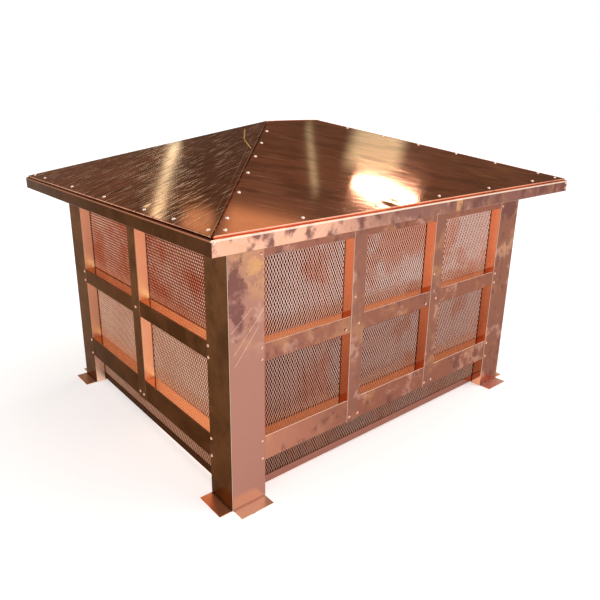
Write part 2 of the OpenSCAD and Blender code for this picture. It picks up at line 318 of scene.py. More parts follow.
# %% [markdown]
# The finish lays these marks over the clean colour one after the other, as they came in life:
# the tarnish first, the smudges and scratches last. They could be added up instead, but the
# sum would be brighter than copper where two of them cross. The west pan is the most worn,
# and its front half is painted darker past a slanting line, a painted shade. A scratch
# scatters light, so it is a little less metallic.


# %% Roof copper
def roof_copper():
    graph = CopperGraph("roof_copper")
    x, y = graph.x, graph.y
    side_pan = graph.smooth(abs(graph.facing_x) - abs(graph.facing_y), -0.1, 0.1)
    long_pan = 1.0 - side_pan
    worn_west = graph.smooth(-x, -0.05, 0.05) * side_pan
    near_corner = graph.smooth(-x * 0.5 - y, 0.5, 0.62)
    dark, light = roof_streaks(graph, side_pan, long_pan)
    scored, gold = roof_lines(graph)

    haze = graph.clouds(0.2)
    colour = graph.blend(graph.smooth(haze, 0.35, 0.65), (0.84, 0.35, 0.21), (0.62, 0.25, 0.15))
    gilt = graph.smooth(abs(y) - abs(x) * 0.3 + haze * 0.3, 0.33, 0.45) * side_pan
    east = graph.smooth(x, 0.1, 0.3) * long_pan
    gilt = gilt + graph.smooth(graph.clouds(0.1, shift=8.3), 0.48, 0.62) * east
    colour = graph.blend(gilt * 0.6, colour, (0.95, 0.44, 0.19))
    # Painted shade: the front half of the west pan is painted darker, past a slanting line.
    slant = math.radians(33.5)
    past_line = x * math.cos(slant) - y * math.sin(slant) + 0.291
    shade = graph.smooth(past_line, 0.0, 0.05) * graph.smooth(-x, 0.0, 0.05) * side_pan
    colour = graph.blend(shade * 0.6, colour, (0.24, 0.10, 0.07))
    ragged = graph.clouds(0.09, detail=6.0, shift=6.3, roughness=0.6) * 0.5
    near_side = graph.smooth(ragged - x - y, 0.76, 0.88) * long_pan
    colour = graph.blend(near_side * 0.35, colour, (1.0, 0.50, 0.36))

    smears = graph.smooth(graph.clouds(0.07, detail=6.0, shift=5.1, roughness=0.7), 0.46, 0.62)
    dark = dark * (0.35 + smears * 0.65) * (0.35 + worn_west * 0.55)
    colour = graph.blend(dark * (1.0 - near_corner * 0.75), colour, (0.10, 0.035, 0.02))
    smudges = graph.smooth(graph.streaks(0.11, 0.04, turned(-30), detail=8.0), 0.5, 0.62)
    smudges = smudges * graph.smooth(-y, 0.0, 0.05) * long_pan * (1.0 - near_corner)
    colour = graph.blend(smudges * 0.5, colour, (0.34, 0.13, 0.08))
    light = light * (0.45 + worn_west * 0.45)
    colour = graph.blend(light, colour, (1.0, 0.68, 0.48))
    colour = graph.blend(scored * 0.8, colour, (0.95, 0.62, 0.45))
    colour = graph.blend(gold, colour, (0.85, 0.50, 0.13))

    roughness = 0.06 + haze * 0.05 + light * 0.12
    metallic = 1.0 - light * 0.3 - gold * 0.6
    waves = graph.clouds(0.35, detail=1.0)
    dents = graph.spot(x, y, (-518, -186), 24).highest(graph.spot(x, y, (-118, -438), 26))
    bumps = [(0.0008, waves), (0.0005, dents), (0.00003, light)]
    return graph.finish(colour, roughness, bumps, metallic, edge=(0.85, 0.72, 0.64))


finishes = {"roof_copper": roof_copper()}

# %% [markdown]
# The posts, rails and eaves were handled more. Their outer faces are pink-brown with purple
# blotches and duller towards the right. On the west side they are painted dark brown, a painted
# shade, clouded like the tarnish. The returns inside the folds were never touched and stay a
# clean orange, with their upward faces painted paler, a painted highlight. Each zone could be a
# material of its own, but a sheet is one mesh here, so its finish tells the zones apart by how
# far out a place lies and which way it faces.


# %% Zones of a folded sheet
def sheet_zones(graph, half_x, half_y):
    """Masks for a sheet whose outer faces stand at the given half sizes."""
    past_x, past_y = abs(graph.x) - half_x, abs(graph.y) - half_y
    past_west, past_front = -graph.x - half_x, -graph.y - half_y
    flange = graph.smooth(past_x, 1.5 * MM, 3.5 * MM)
    flange = flange.highest(graph.smooth(past_y, 1.5 * MM, 3.5 * MM))
    ends = graph.smooth(past_x, -1.8 * MM, -0.8 * MM)
    sides = graph.smooth(past_y, -1.8 * MM, -0.8 * MM)
    straight = abs(graph.facing_x).highest(abs(graph.facing_y)).highest(abs(graph.facing_z))
    west_rim = graph.smooth(past_west, -2.0 * MM, -1.0 * MM)
    return SimpleNamespace(
        flange=flange,
        outer=ends.highest(sides) * (1.0 - flange),
        west=graph.smooth(past_west, -1.8 * MM, -0.8 * MM),
        front=graph.smooth(past_front, -9.0 * MM, -8.0 * MM),
        fold=graph.smooth(1.0 - straight, 0.08, 0.16),
        west_rim=west_rim,
        near_rim=west_rim * graph.smooth(past_front, -2.0 * MM, -1.0 * MM),
    )


def gap_shadow(graph, along, mesh_half, facing):
    """A painted shadow in the gap where a return meets the mesh that stands behind it."""
    past = abs(along) - mesh_half
    band = graph.fall(past, 2.0 * MM, 3.5 * MM) * graph.smooth(past, -9.0 * MM, -4.0 * MM)
    return band * graph.smooth(abs(facing), 0.5, 0.7)


print("mesh half sizes, behind the returns:", -mesh_left, -mesh_front)

# %% [markdown]
# Tarnish comes in layers: a broad cloud, blotches where hands and water were, pale and golden
# places between them, and scratches over all. They could be four materials mixed at the end,
# but a layer that is blended over the colour so far is shorter and bakes faster. The marks
# are kept together, so that the posts, rails and eaves can each change a few. The lower half
# of the west posts is calm, with no blotches at all.


# %% Marks on a folded sheet
CLEAN = (0.90, 0.41, 0.235)


def sheet_marks(graph, zones, near, blotch_from):
    """What every folded sheet has. One kind of sheet may then change some of it."""
    calm = graph.fall(graph.z, 0.3, 0.36) * graph.smooth(-graph.x, 0.37, 0.38)
    smears = graph.streaks(0.035, 0.011, (0, math.radians(-40), 0.3), detail=6.0, depth=0.04)
    lumps = graph.clouds(0.06, detail=8.0, shift=1.3, roughness=0.72)
    tarnish = graph.smooth(smears * 0.55 + lumps * 0.45, blotch_from, blotch_from + 0.12)
    scratches = graph.streaks(0.09, 0.0012, (0.0, math.radians(-45.0), 0.0), depth=0.5)
    # Upward faces of the returns are painted paler, a painted highlight.
    upward_highlight = graph.smooth(graph.facing_z, 0.5, 0.7)
    return SimpleNamespace(
        calm=calm,
        cloud=graph.clouds(0.1, shift=0.4),
        smears=smears,
        lumps=lumps,
        tarnish=tarnish,
        blotches=tarnish * (1.0 - calm),
        scratches=graph.smooth(scratches, 0.7, 0.8),
        inner=graph.blend(upward_highlight * 0.4, CLEAN, (1.0, 0.68, 0.42)),
        near=near,
        gilt=0.0,
        soft=0.0,
        # The folds get a painted highlight.
        fold_highlight=zones.fold * 0.4,
    )


def outer_colour(graph, zones, marks, far, west_shade_colour):
    """The colour of the outer faces, one layer over the other."""
    restless = (1.0 - marks.calm) * (0.4 + zones.front * 0.6)
    pale = graph.smooth(graph.clouds(0.05, detail=5.0, shift=6.7), 0.54, 0.64)
    golden = graph.smooth(graph.clouds(0.06, detail=7.0, shift=3.1), 0.52, 0.68)
    colour = graph.blend(graph.smooth(graph.x + marks.cloud * 0.2, -0.3, 0.02), marks.near, far)
    colour = graph.blend(pale * restless * 0.35, colour, (0.78, 0.46, 0.36))
    colour = graph.blend(golden * restless * 0.32 + marks.gilt, colour, (0.66, 0.34, 0.16))
    colour = graph.blend(marks.blotches * 0.9, colour, (0.19, 0.08, 0.07))
    colour = graph.blend(marks.scratches * 0.5, colour, (0.95, 0.70, 0.58))
    # Painted shade: the west side's outer faces are painted dark brown, clouded like the tarnish.
    deep, thin = (tuple(share * part for part in west_shade_colour) for share in (0.72, 1.15))
    west_shade = graph.blend(graph.smooth(marks.lumps * 0.6 + marks.cloud * 0.4, 0.42, 0.6), thin, deep)
    return graph.blend(zones.west, colour, west_shade)


def inner_colour(graph, zones, marks, half_x):
    """The colour of the returns and the feet's flanges, with a painted shadow in the gaps to the
    mesh.
    """
    on_side = graph.smooth(abs(graph.x), half_x, half_x + 3 * MM)
    on_front = graph.blend(graph.smooth(graph.x, -0.2, 0.2), (1.0, 0.84, 0.66), (1.0, 0.52, 0.42))
    foot = graph.blend(on_side, on_front, (1.0, 0.52, 0.31))
    colour = graph.blend(zones.flange, marks.inner, foot)
    # Painted shadow along the gaps between the returns and the mesh.
    gap_shadows = gap_shadow(graph, graph.x, -mesh_left, graph.facing_y)
    gap_shadows = gap_shadows + gap_shadow(graph, graph.y, -mesh_front, graph.facing_x)
    return graph.blend(gap_shadows * 0.85, colour, (0.05, 0.012, 0.006))


# %% [markdown]
# The folds' outer edges get a painted highlight, a pale line where the bend would catch the
# light, and on the west side, which lies in shade, a darker painted line. The bend is found by
# the normal, which there points along no axis. A highlight from the bend itself would need a
# wider bevel, which the model's folds already have.


# %% Folded copper
def folded_copper(name, half_x, half_y, near, far, west_shade_colour, blotch_from, own):
    """The finish of folded sheets. The own function changes the marks of one kind of sheet."""
    graph = CopperGraph(name)
    zones = sheet_zones(graph, half_x, half_y)
    marks = sheet_marks(graph, zones, near, blotch_from)
    own(graph, marks)
    outside = outer_colour(graph, zones, marks, far, west_shade_colour)
    inside = inner_colour(graph, zones, marks, half_x)
    colour = graph.blend(zones.outer, inside, outside)
    # Painted highlight on the folds, darker on the west side, which lies in shade.
    west_rim_in_shade = zones.west_rim * (1.0 - zones.near_rim)
    painted_fold_highlight = graph.blend(west_rim_in_shade, (1.0, 0.78, 0.62), (0.42, 0.17, 0.10))
    colour = graph.blend(marks.fold_highlight.highest(zones.near_rim * zones.fold * 0.6), colour, painted_fold_highlight)
    roughness = 0.07 + marks.cloud * 0.06 + marks.tarnish * 0.05
    roughness = roughness + zones.outer * 0.09 + zones.flange * 0.27
    roughness = roughness + (1.0 - zones.outer) * (1.0 - zones.flange) * marks.soft
    waves = graph.clouds(0.3, detail=1.0)
    return graph.finish(colour, roughness, [(0.0008, waves)], edge=(0.56, 0.51, 0.48))


# %% [markdown]
# The near post has a purple blotch with a golden place beside it, and three long scratches
# that cross it slantwise. The far post has a blotch at its top. A blotch is a soft spot that
# noise eats into, because a spot alone would look like a drop of paint.


# %% Face copper
SCRATCHES = (((-453, 369), (-404, 411)), ((-448, 325), (-378, 403)), ((-446, 303), (-390, 372)))


def post_marks(graph, marks):
    """The blotches and long scratches of the posts, and their returns on the ends."""
    x, y, z = graph.x, graph.y, graph.z
    front = graph.smooth(-y, 0.35, 0.37)
    grain = graph.clouds(0.03, detail=8.0, shift=2.2, roughness=0.75)
    narrow = 2.4
    spot = graph.spot(x * narrow, z, (-438 * narrow, 436), 84)
    blotch = graph.smooth(spot * 0.4 + grain + marks.smears * 0.4, 0.84, 0.94)
    blotch = blotch * graph.smooth(spot, 0.0, 0.25) * graph.smooth(grain, 0.36, 0.56)
    far_top = graph.smooth(graph.spot(x, z, (415, 500), 62) * 0.5 + grain, 0.72, 0.84)
    marks.blotches = marks.blotches.highest(blotch * front).highest(far_top * front)
    for start, end in SCRATCHES:
        marks.scratches = marks.scratches.highest(graph.line(x, z, start, end, 0.8) * front)
    west_side = graph.smooth(-x, -body_left - 28.5 * MM, -body_left - 27.5 * MM)
    marks.inner = graph.blend(west_side, marks.inner, (1.0, 0.66, 0.48))
    marks.soft = west_side * 0.28
    golden = graph.spot(x, z, (-390, 474), 72) * graph.smooth(grain, 0.42, 0.58)
    near_top = graph.smooth(z, 0.46, 0.53) * graph.smooth(-x, 0.37, 0.38)
    marks.gilt = golden * front + near_top * front * 0.5


finishes["face_copper"] = folded_copper(
    "face_copper", -body_left, -body_front,
    near=(0.44, 0.21, 0.16), far=(0.29, 0.125, 0.088), west_shade_colour=(0.12, 0.052, 0.023),
    blotch_from=0.53, own=post_marks,
)

# %% [markdown]
# The rails are plainer. The bottom one is warmer than the two above it, since it mirrors the
# ground. It could have a material of its own, but a step in height does the same.


# %% Rail copper
def rail_marks(graph, marks):
    """The warmer colour of the bottom rail."""
    low = graph.fall(graph.z, 0.13, 0.15)
    marks.near = graph.blend(low, marks.near, (0.48, 0.205, 0.135))


finishes["rail_copper"] = folded_copper(
    "rail_copper", -rail_left, -rail_front,
    near=(0.34, 0.138, 0.095), far=(0.30, 0.12, 0.08), west_shade_colour=(0.09, 0.036, 0.016),
    blotch_from=0.51, own=rail_marks,
)

# %% [markdown]
# The eaves are the palest sheets. Their crest has a painted highlight, almost white, the lip on
# the west side is painted dark as painted shade, and the long eave's two lengths lap with a golden
# edge. The strips near the ground are browner, and on the west side painted near black as
# painted shade. They could have a finish of their own, but the record gives them this one, so a
# step in height gives them their brown.


# %% Edge copper
def eave_marks(graph, marks):
    """The strips' brown and west painted shade, and the eaves' shaded lip, painted crest highlight,
    lap and scratch.
    """
    x, z = graph.x, graph.z
    marks.calm = 0.0
    # The strips are brown, and painted near black on the west side as painted shade.
    strip_brown_and_shade = graph.blend(graph.smooth(-x, 0.42, 0.425), (0.36, 0.16, 0.12), (0.06, 0.025, 0.014))
    inner = graph.blend(graph.fall(z, 0.026, 0.03), CLEAN, strip_brown_and_shade)
    # Painted shade: the lip on the west side is painted dark.
    west_lip_shade = graph.smooth(-x, -eave_left - 9 * MM, -eave_left - 7 * MM)
    marks.inner = graph.blend(west_lip_shade, inner, (0.10, 0.035, 0.02))
    # Painted highlight: the eaves' crest is painted almost white.
    crest_highlight = graph.smooth(z, eave_top - 3.6 * MM, eave_top - 2.4 * MM)
    upright = graph.fall(graph.facing_z, 0.3, 0.6)
    marks.fold_highlight = marks.fold_highlight.highest(crest_highlight * upright * 0.9)
    lap = graph.smooth(x, 0.062, 0.068) * graph.fall(x, 0.085, 0.088)
    marks.gilt = lap * graph.smooth(-graph.y, 0.44, 0.45) * 0.8
    marks.scratches = marks.scratches.highest(graph.line(x, z, (-294, 566), (-331, 540), 1.0))


finishes["edge_copper"] = folded_copper(
    "edge_copper", -eave_left, -eave_front,
    near=(0.94, 0.50, 0.345), far=(0.28, 0.13, 0.105), west_shade_colour=(0.075, 0.032, 0.016),
    blotch_from=0.47, own=eave_marks,
)

# %% [markdown]
# The mesh is thinner and rougher than the sheets. Its strands were sheared and stretched, so
# the outer sides of the strands shine in small pieces. The sides that face in are painted dark
# as painted shade, and the west panel is redder, with painted shade in bands along its rows.
# The lower bays are painted darker as painted shade, the lower west panel paler as a painted
# highlight, and a painted reflection warms the strands just above each rail. A plain brown
# would do from afar, but the normal tells which way a strand's side faces, so each side gets
# its own colour.


# %% Mesh copper
STRAND_ROW = 13.3 * MM / 2
ABOVE_RAILS = ((0.137, 0.139, 0.14, 0.17), (0.335, 0.337, 0.34, 0.365))


def mesh_copper():
    graph = CopperGraph("mesh_copper")
    x, y, z = graph.x, graph.y, graph.z
    on_ends = graph.smooth(abs(x), -body_left - 36 * MM, -body_left - 34 * MM)
    outward = x * graph.facing_x * on_ends + y * graph.facing_y * (1.0 - on_ends)
    outer = graph.smooth(outward, 0.0, 0.1)
    west = graph.smooth(-x * on_ends, 0.0, 0.1)
    low = graph.fall(z, 0.29, 0.32)
    cloud = graph.clouds(0.1, shift=2.0)

    red = graph.smooth(graph.clouds(0.13, shift=4.4), 0.5, 0.62)
    colour = graph.blend(cloud, (1.0, 0.76, 0.67), (1.0, 0.48, 0.35))
    colour = graph.blend(red * 0.6, colour, (0.85, 0.27, 0.15))
    # Painted shade: the lower bays are painted darker.
    colour = graph.blend(low * 0.5, colour, (0.34, 0.15, 0.10))

    rows = (z - mesh_base).maths("PINGPONG", STRAND_ROW / 2) / (STRAND_ROW / 2)
    # Painted shade in bands along the rows of strands, on the west panel.
    shaded_rows = graph.smooth(rows, 0.35, 0.75)
    side = graph.blend(graph.smooth(cloud, 0.35, 0.65), (1.0, 0.50, 0.34), (0.80, 0.22, 0.11))
    # Painted highlight: the lower west panel is painted paler.
    side = graph.blend(low * 0.7, side, (1.0, 0.64, 0.44))
    side = graph.blend(shaded_rows * (0.9 - low * 0.3), side, (0.14, 0.03, 0.015))
    colour = graph.blend(west, colour, side)

    # Painted reflection of each rail's flange on the strands just above it.
    rail_reflection = 0.0
    for foot, full, fading, gone in ABOVE_RAILS:
        rail_reflection = graph.smooth(z, foot, full) * graph.fall(z, fading, gone) + rail_reflection
    colour = graph.blend(rail_reflection * 0.4, colour, (1.0, 0.50, 0.32))
    colour = graph.blend(graph.fall(z, 0.08, 0.1) * 0.5, colour, (0.22, 0.10, 0.05))
    # Painted shade: the sides that face in are painted near black.
    colour = graph.blend(outer, (0.05, 0.015, 0.008), colour)
    bumps = [(0.00005, graph.clouds(0.0015, detail=2.0))]
    return graph.finish(colour, 0.24 + cloud * 0.1, bumps, edge=(0.62, 0.34, 0.24))


finishes["mesh_copper"] = mesh_copper()

# %% [markdown]
# The rivets are soft copper with a bright skin, and their colour is painted paler still, most
# on the roof, a painted highlight for the light that their domes catch. They could share the
# sheets' finish, but its blotches are larger than a rivet, so they get their own, with no
# pattern but a slight cloud.


# %% Rivet copper
def rivet_copper():
    graph = CopperGraph("rivet_copper")
    cloud = graph.clouds(0.004, detail=2.0)
    # Painted highlight: the roof's rivets are painted paler.
    roof = graph.smooth(graph.z, 0.555, 0.565)
    colour = graph.blend(roof, (0.80, 0.47, 0.36), (1.0, 0.82, 0.74))
    return graph.finish(colour, 0.22 + cloud * 0.08, [(0.0001, cloud)])


rivet_finish = rivet_copper()

# %% [markdown]
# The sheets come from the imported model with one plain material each. A new object could take
# each one's place, but the shape is already right, so only the material in its slot changes.
# The record says which slot every sheet belongs to.

# %% Give each sheet its finish
for part in frame["record"]["subparts"]:
    for slot in frame["nodes"][part["node"]].material_slots:
        slot.material = finishes[part["material_slot"]]

# %% [markdown]
# Operators act on whatever is selected, and the model's nodes are selected after they load.
# Three small helpers keep that in hand: one clears the selection, one names what was just
# added, and one repeats a piece and applies the repeat at once, so that no modifier is left.


# %% Helpers for modelling
def deselect_all():
    for item in bpy.context.selected_objects:
        item.select_set(False)


def start_piece(name):
    """Names the primitive that was just added."""
    piece = bpy.context.object
    piece.name = name
    piece.data.name = name
    return piece


def apply_array(piece, count, offset, merge):
    """Repeats a piece along the offset. Ends that meet are joined if merge is true."""
    array = piece.modifiers.new("repeat", "ARRAY")
    array.count = count
    array.use_relative_offset = False
    array.use_constant_offset = True
    array.constant_offset_displace = offset
    array.use_merge_vertices = merge
    array.merge_threshold = 0.02 * MM
    bpy.context.view_layer.objects.active = piece
    bpy.ops.object.modifier_apply(modifier=array.name)


deselect_all()
print("selected after clearing:", len(bpy.context.selected_objects))

# %% [markdown]
# Expanded mesh is one sheet, slit and stretched. Each strand runs up the panel in a zigzag
# and meets its neighbours where the slits end. It could be a grid with an image of holes,
# but the strands' own thickness is what catches the light, so one strand is drawn out from
# its section by two extrusions, repeated up the panel, and turned round beside itself. The
# section is tilted, because stretching turns a strand on its own length.


# %% One strand
STRAND_WIDTH = 1.0 * MM
STRAND_THICKNESS = 0.5 * MM
STRAND_TILT = math.radians(38)
DIAMOND_WIDTH = 6.65 * MM
DIAMOND_HEIGHT = 2 * STRAND_ROW


def strand_pair(name, width, height, rows, tilt):
    """Two mirrored strands that fill one diamond's width, from the ground line up."""
    deselect_all()
    bpy.ops.mesh.primitive_plane_add(size=1.0)
    piece = start_piece(name)
    swing = width / 2 - STRAND_WIDTH * math.cos(tilt)
    bpy.ops.object.mode_set(mode="EDIT")
    bpy.ops.transform.resize(value=(STRAND_WIDTH, STRAND_THICKNESS, 1.0))
    bpy.ops.transform.rotate(value=tilt, orient_axis="Z", center_override=(0, 0, 0))
    bpy.ops.transform.translate(value=(-swing / 2, 0, 0))
    for way in (1, -1):
        bpy.ops.mesh.extrude_region_move(
            TRANSFORM_OT_translate={"value": (way * swing, 0, height / 2)}
        )
    bpy.ops.mesh.delete(type="ONLY_FACE")
    bpy.ops.object.mode_set(mode="OBJECT")
    apply_array(piece, rows, (0, 0, height), True)
    bpy.ops.object.mode_set(mode="EDIT")
    bpy.ops.mesh.select_all(action="DESELECT")
    bpy.ops.mesh.select_mode(type="EDGE")
    bpy.ops.mesh.select_non_manifold()
    bpy.ops.mesh.edge_face_add()
    bpy.ops.mesh.select_all(action="SELECT")
    bpy.ops.mesh.normals_make_consistent(inside=False)
    bpy.ops.mesh.duplicate()
    bpy.ops.transform.resize(value=(-1, -1, 1), center_override=(0, 0, 0))
    bpy.ops.transform.translate(value=(width / 2, 0, 0))
    bpy.ops.mesh.select_all(action="SELECT")
    bpy.ops.mesh.normals_make_consistent(inside=False)
    bpy.ops.object.mode_set(mode="OBJECT")
    return piece


sample = strand_pair("sample", DIAMOND_WIDTH, DIAMOND_HEIGHT, 4, STRAND_TILT)
print("four rows of a strand pair:", len(sample.data.polygons), "faces", tuple(sample.dimensions))
bpy.data.objects.remove(sample)

# %% [markdown]
# A panel is the pair of strands repeated along one side. Its diamonds are stretched by a hair
# so that a whole number of them fills the panel. It takes the place of the model's lattice,
# whose diamonds are five times too coarse. Opposite panels face outwards the same way.


# %% Expanded mesh panels
def expanded_panel(side, turn, tilt):
    """The mesh of one side, in the place of the model's coarse lattice."""
    node = f"mesh_{side}"
    low, high = (Vector(corner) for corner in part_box(node))
    size = high - low
    length = max(size.x, size.y)
    columns = round(length / DIAMOND_WIDTH)
    rows = round(size.z / DIAMOND_HEIGHT)
    width, height = length / columns, size.z / rows
    panel = strand_pair(f"expanded_mesh_{side}", width, height, rows, tilt)
    apply_array(panel, columns, (width, 0, 0), False)
    middle = (low + high) / 2
    place = Matrix.Translation((middle.x, middle.y, low.z)) @ Matrix.Rotation(turn, 4, "Z")
    panel.data.transform(place @ Matrix.Translation(((width / 4 - length / 2), 0, 0)))
    panel.data.materials.append(finishes["mesh_copper"])
    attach(panel, "root")
    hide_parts(node)
    print(node, columns, "by", rows, "diamonds,", len(panel.data.polygons), "faces")


for side, turn, tilt in (
    ("front", 0, STRAND_TILT),
    ("right", 90, -STRAND_TILT),
    ("back", 180, STRAND_TILT),
    ("left", -90, -STRAND_TILT),
):
    expanded_panel(side, math.radians(turn), tilt)

# %% [markdown]
# A blind rivet shows a low dome with a small hole in the middle, where its pin broke off. It
# could be half of a sphere, but that is too tall and has no hole. So one is drawn from a disc
# by extrusions that step inwards, and every other is a copy of it.


# %% One rivet
RIVET_RADIUS = 3.5 * MM


def dome_rivet():
    """A rivet on the origin, with its head towards +Z."""
    deselect_all()
    bpy.ops.mesh.primitive_circle_add(vertices=12, radius=RIVET_RADIUS, fill_type="NGON")
    rivet = start_piece("rivet")
    bpy.ops.object.mode_set(mode="EDIT")
    for rise, shrink in ((0.9, 0.92), (0.8, 0.72), (0.35, 0.5), (-0.5, 0.9)):
        bpy.ops.mesh.extrude_region_move(TRANSFORM_OT_translate={"value": (0, 0, rise * MM)})
        bpy.ops.transform.resize(value=(shrink, shrink, 1))
    bpy.ops.mesh.select_all(action="SELECT")
    bpy.ops.mesh.normals_make_consistent(inside=False)
    bpy.ops.object.mode_set(mode="OBJECT")
    bpy.ops.object.shade_smooth_by_angle(angle=math.radians(50))
    return rivet


rivet = dome_rivet()
print("rivet:", len(rivet.data.polygons), "faces")

# %% [markdown]
# A rivet is drawn once, on the ground with its head up, so each copy needs a place and a
# turn. These could be lists of places on all four sides, but opposite sides are alike, so a
# place is given as seen from outside, and a turn about the middle brings it to its side.


# %% Where a rivet sits
def on_wall(front, left, across, up, turn):
    """A place on an upright face, seen from outside: across to the right and up."""
    distance = front if turn % 180 == 0 else left
    spin = Matrix.Rotation(math.radians(turn), 4, "Z")
    upright = Matrix.Rotation(math.radians(90), 4, "X")
    return spin @ Matrix.Translation((across, distance, up)) @ upright


PAN_RISE = 3.5 * MM


def on_roof(across, inward, turn):
    """A place on a roof pan, across from its middle and inward from the eave, in plan."""
    distance = eave_front if turn % 180 == 0 else eave_left
    spin = Matrix.Rotation(math.radians(turn), 4, "Z")
    rise = eave_top + inward * math.tan(ROOF_PITCH) + PAN_RISE / math.cos(ROOF_PITCH)
    sloping = Matrix.Rotation(ROOF_PITCH, 4, "X")
    return spin @ Matrix.Translation((across, distance + inward, rise)) @ sloping


print("middle of the front eave, on the roof:", tuple(on_roof(0.0, 0.0, 0).translation))

# %% [markdown]
# Rivets of one kind are joined into one piece, because a hundred separate pieces would only
# be in the way. The places could be the copies' own, but then the joined piece would sit
# where one of them does. So each copy gets its own mesh and its place goes into that mesh,
# and the joined piece sits at the origin.


# %% Rivets in groups
def rivet_group(name, places):
    """Copies of the rivet at the given places, joined into one piece."""
    deselect_all()
    for place in places:
        copy = rivet.copy()
        copy.data = rivet.data.copy()
        copy.data.transform(place)
        bpy.context.collection.objects.link(copy)
        copy.select_set(True)
        bpy.context.view_layer.objects.active = copy
    bpy.ops.object.join()
    group = start_piece(name)
    group.data.materials.append(rivet_finish)
    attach(group, "root")
    print(name, len(places), "rivets")


# %% [markdown]
# On the roof the rivets follow the hips, where one pan's flange lies under the next, and the
# eaves, where the pans are fastened to the lip. Their spacing is a little uneven, as it is
# when holes are marked by eye, so each row is a short list of steps from the corner.

# %% Rivets on the roof
HIP_STEPS = [48, 124, 194, 262, 326.5, 391]
HIP_ASIDE = 9.6 * MM
hip_places = []
for turn in (0, 180):
    for hand in (-1, 1):
        for step in HIP_STEPS:
            inward = step * MM
            across = hand * (-eave_left - inward - HIP_ASIDE * math.sqrt(2))
            hip_places.append(on_roof(across, inward, turn))
rivet_group("hip_rivets", hip_places)

LONG_EAVE_STEPS = [36, 191, 371, 560, 740, 927, 1036]
SHORT_EAVE_STEPS = [32, 139, 246, 427, 610, 802, 882]
EAVE_ASIDE = 16 * MM
eave_places = []
for turn in (0, 180):
    for step in LONG_EAVE_STEPS:
        eave_places.append(on_roof(eave_left + step * MM, EAVE_ASIDE, turn))
    for step in SHORT_EAVE_STEPS:
        eave_places.append(on_roof(-eave_front - step * MM, EAVE_ASIDE, turn - 90))
rivet_group("eave_rivets", eave_places)

# %% [markdown]
# Two rivets close each corner of the fascia. On the sides, rivets fasten the rails and the
# mesh to the posts and the mullions to the rails, and the two ends are alike. A grid could
# place them, but a hand that drills is off by a few millimetres, so their heights are listed.

# %% Rivets on the sides
fascia_places = [
    on_wall(eave_front, eave_left, hand * (eave_left + 6 * MM), eave_base + up * MM, turn)
    for turn in (0, 180)
    for hand in (-1, 1)
    for up in (9, 21.5)
]
rivet_group("fascia_rivets", fascia_places)


def on_side(across, up, turn):
    """A place on the body's outer faces, its height in millimetres."""
    return on_wall(body_front, body_left, across, up * MM, turn)


POST_HEIGHTS = [89, 128, 302, 326, 504.5]
LONG_MULLION_RIVETS = [(-13, 93), (13, 94.5), (3, 312), (-11, 374), (-34, 305)]
SHORT_MULLION_RIVETS = [(-9, 97), (10, 96), (0, 314)]
long_edge = -body_left - 73 * MM
short_edge = -body_front - 70 * MM
side_places = []
for turn in (0, 180):
    for hand in (-1, 1):
        side_places += [on_side(hand * long_edge, up, turn) for up in POST_HEIGHTS]
        side_places += [on_side(hand * short_edge, up, turn - 90) for up in POST_HEIGHTS]
    for middle in (-131, 131):
        for across, up in LONG_MULLION_RIVETS:
            side_places.append(on_side((middle + across) * MM, up, turn))
    for across, up in SHORT_MULLION_RIVETS:
        side_places.append(on_side(across * MM, up, turn - 90))
rivet_group("side_rivets", side_places)
bpy.data.objects.remove(rivet)

# %% [markdown]
# The floor is a plain pale sheet that takes the object's shadow. Brighter lamps would turn it
# white, but they would bleach the copper too. So it has a faint glow of its own, which only
# the camera and the shiny sheets see.

# %% Floor
deselect_all()
bpy.ops.mesh.primitive_plane_add(size=60.0, location=(0, 0, -0.5 * MM))
floor = start_piece("floor")
floor_white = bpy.data.materials.new("floor_white")
white = Graph(floor_white)
camera_ray = white.add("ShaderNodeLightPath", output="Is Camera Ray")
seen = camera_ray + camera_ray.sibling("Is Glossy Ray") + camera_ray.sibling("Is Transmission Ray")
white_shader = white.add(
    "ShaderNodeBsdfPrincipled",
    {},
    {
        "Base Color": (0.9, 0.9, 0.9, 1.0),
        "Roughness": 0.9,
        "Specular IOR Level": 0.0,
        "Emission Color": white.blend(seen, (0.0, 0.0, 0.0), (0.4, 0.4, 0.4)),
        "Emission Strength": 1.0,
    },
)
white.add("ShaderNodeOutputMaterial", {}, {"Surface": white_shader})
floor.data.materials.append(floor_white)
print("floor:", tuple(floor.dimensions))

# %% [markdown]
# A dark box stands inside the posts, clear of the meshes, a painted shade for the shaded inside
# and the room beyond, which are dark to the eye. To the sheets' reflections it glows warm, a
# painted reflection, with brighter painted sun patches low on the west side. The room itself
# could be darkened, but then the sheets, which mirror it, would turn black too. It belongs to
# the stage.


# %% The painted shade's finish
SUN_PATCH_BASES = (0.095, 0.3)


